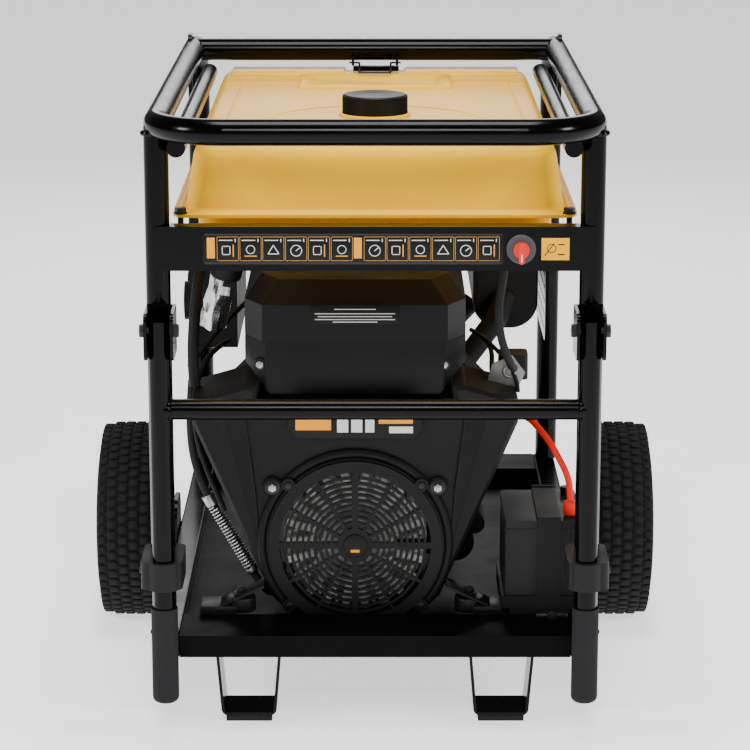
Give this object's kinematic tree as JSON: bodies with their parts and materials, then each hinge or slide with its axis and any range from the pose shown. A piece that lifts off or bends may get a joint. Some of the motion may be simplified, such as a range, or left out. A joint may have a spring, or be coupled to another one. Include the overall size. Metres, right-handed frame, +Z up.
{
  "type": "portable generator",
  "caption": "Open-frame portable generator: V-twin engine with round fan guard, yellow fuel tank in a tube frame, fold-down handle, two wheels and front feet.",
  "frame": {"origin": "on the ground, under the middle of the whole object", "axes": "+X to the right seen from the engine end, +Y from the engine end to the alternator end, +Z up"},
  "size_m": [0.818, 0.984, 0.838],
  "materials": {
    "frame_black": "gloss powder coat",
    "tank_yellow": "gloss enamel",
    "moulded_black": "fine moulded grain",
    "grip_rubber": "matt",
    "clip_plastic": "moulded",
    "tyre_rubber": "matt, block tread",
    "rim_paint": "satin",
    "cast_aluminium": "as cast",
    "engine_black": "heat resistant matt paint",
    "zinc_steel": "zinc plated",
    "spring_steel": "bright drawn",
    "core_iron": "laminated",
    "battery_case": "moulded",
    "hose_rubber": "braided",
    "cable_red": "smooth",
    "knob_red": "smooth",
    "panel_print": "printed film",
    "cap_black": "ribbed moulding",
    "filter_paper": "pleated"
  },
  "bodies": {
    "generator": {"air_filter_base": "moulded_black", "air_filter_cover": "moulded_black", "air_filter_element": "filter_paper", "alternator_housing": "cast_aluminium", "axle_nuts": "zinc_steel", "base_rails": "frame_black", "base_tray": "frame_black", "battery": "battery_case", "battery_tray": "frame_black", "blower_shroud": "moulded_black", "carburettor": "cast_aluminium", "control_box": "engine_black", "crankcase": "cast_aluminium", "cylinders": "cast_aluminium", "drain_hose": "hose_rubber", "engine_mounts": "grip_rubber", "exhaust_pipes": "engine_black", "fan_guard": "moulded_black", "foot_pads": "grip_rubber", "front_feet": "frame_black", "front_panel": "frame_black", "front_uprights": "frame_black", "fuel_hose": "hose_rubber", "fuel_pump": "moulded_black", "fuel_tank": "tank_yellow", "handle_brackets": "frame_black", "inner_rails": "frame_black", "lifting_plates": "frame_black", "muffler": "engine_black", "muffler_shield": "frame_black", "outlets": "clip_plastic", "panel_plates": "panel_print", "pivot_bolts": "frame_black", "rear_cross_bar": "frame_black", "red_cable": "cable_red", "spark_plugs": "zinc_steel", "spring_guard": "spring_steel", "starter_motor": "engine_black", "stator": "core_iron", "stub_axles": "frame_black", "switch_base": "clip_plastic", "tank_bolts": "zinc_steel", "top_loop": "frame_black", "valve_covers": "engine_black"},
    "handle": {"handle_frame": "frame_black", "handle_grips": "grip_rubber", "handle_clips": "clip_plastic"},
    "wheel_left": {"tyre_left": "tyre_rubber", "rim_left": "rim_paint"},
    "wheel_right": {"tyre_right": "tyre_rubber", "rim_right": "rim_paint"},
    "crank_train": {"crankshaft": "zinc_steel", "cooling_fan": "cast_aluminium", "rotor": "core_iron"},
    "fuel_cap": {"fuel_cap": "cap_black"},
    "knob": {"switch_knob": "knob_red"},
    "bail": {"wire_bail": "zinc_steel"},
    "key": {"key_switch": "zinc_steel"},
    "breaker": {"breaker_lever": "cap_black"},
    "dipstick": {"dipstick": "clip_plastic"}
  },
  "joints": [
    {"name": "handle_fold", "type": "hinge", "parent": "generator", "child": "handle", "pos_m": [0, -0.47, 0.558], "axis": [-1, 0, 0], "range_deg": [0, 90]},
    {"name": "wheel_left_spin", "type": "hinge", "parent": "generator", "child": "wheel_left", "pos_m": [-0.359, 0.074, 0.145], "axis": [1, 0, 0], "continuous": true},
    {"name": "wheel_right_spin", "type": "hinge", "parent": "generator", "child": "wheel_right", "pos_m": [0.359, 0.074, 0.145], "axis": [1, 0, 0], "continuous": true},
    {"name": "crank_spin", "type": "hinge", "parent": "generator", "child": "crank_train", "pos_m": [-0.027, 0, 0.226], "axis": [0, 1, 0], "continuous": true},
    {"name": "fuel_cap_turn", "type": "hinge", "parent": "generator", "child": "fuel_cap", "pos_m": [0, -0.095, 0.79], "axis": [0, 0, 1], "range_deg": [0, 90]},
    {"name": "fuel_cock_turn", "type": "hinge", "parent": "generator", "child": "knob", "pos_m": [0.188, -0.43, 0.655], "axis": [0, -1, 0], "range_deg": [0, 90]},
    {"name": "bail_swing", "type": "hinge", "parent": "generator", "child": "bail", "pos_m": [0, 0.35, 0.796], "axis": [-1, 0, 0], "range_deg": [0, 60]},
    {"name": "key_turn", "type": "hinge", "parent": "generator", "child": "key", "pos_m": [-0.285, 0.136, 0.561], "axis": [-1, 0, 0], "range_deg": [0, 90]},
    {"name": "breaker_throw", "type": "hinge", "parent": "generator", "child": "breaker", "pos_m": [-0.263, 0.192, 0.561], "axis": [0, 1, 0], "range_deg": [0, 20]},
    {"name": "dipstick_pull", "type": "slide", "parent": "generator", "child": "dipstick", "axis": [0, 0, 1], "range_m": [0, 0.15]}
  ]
}
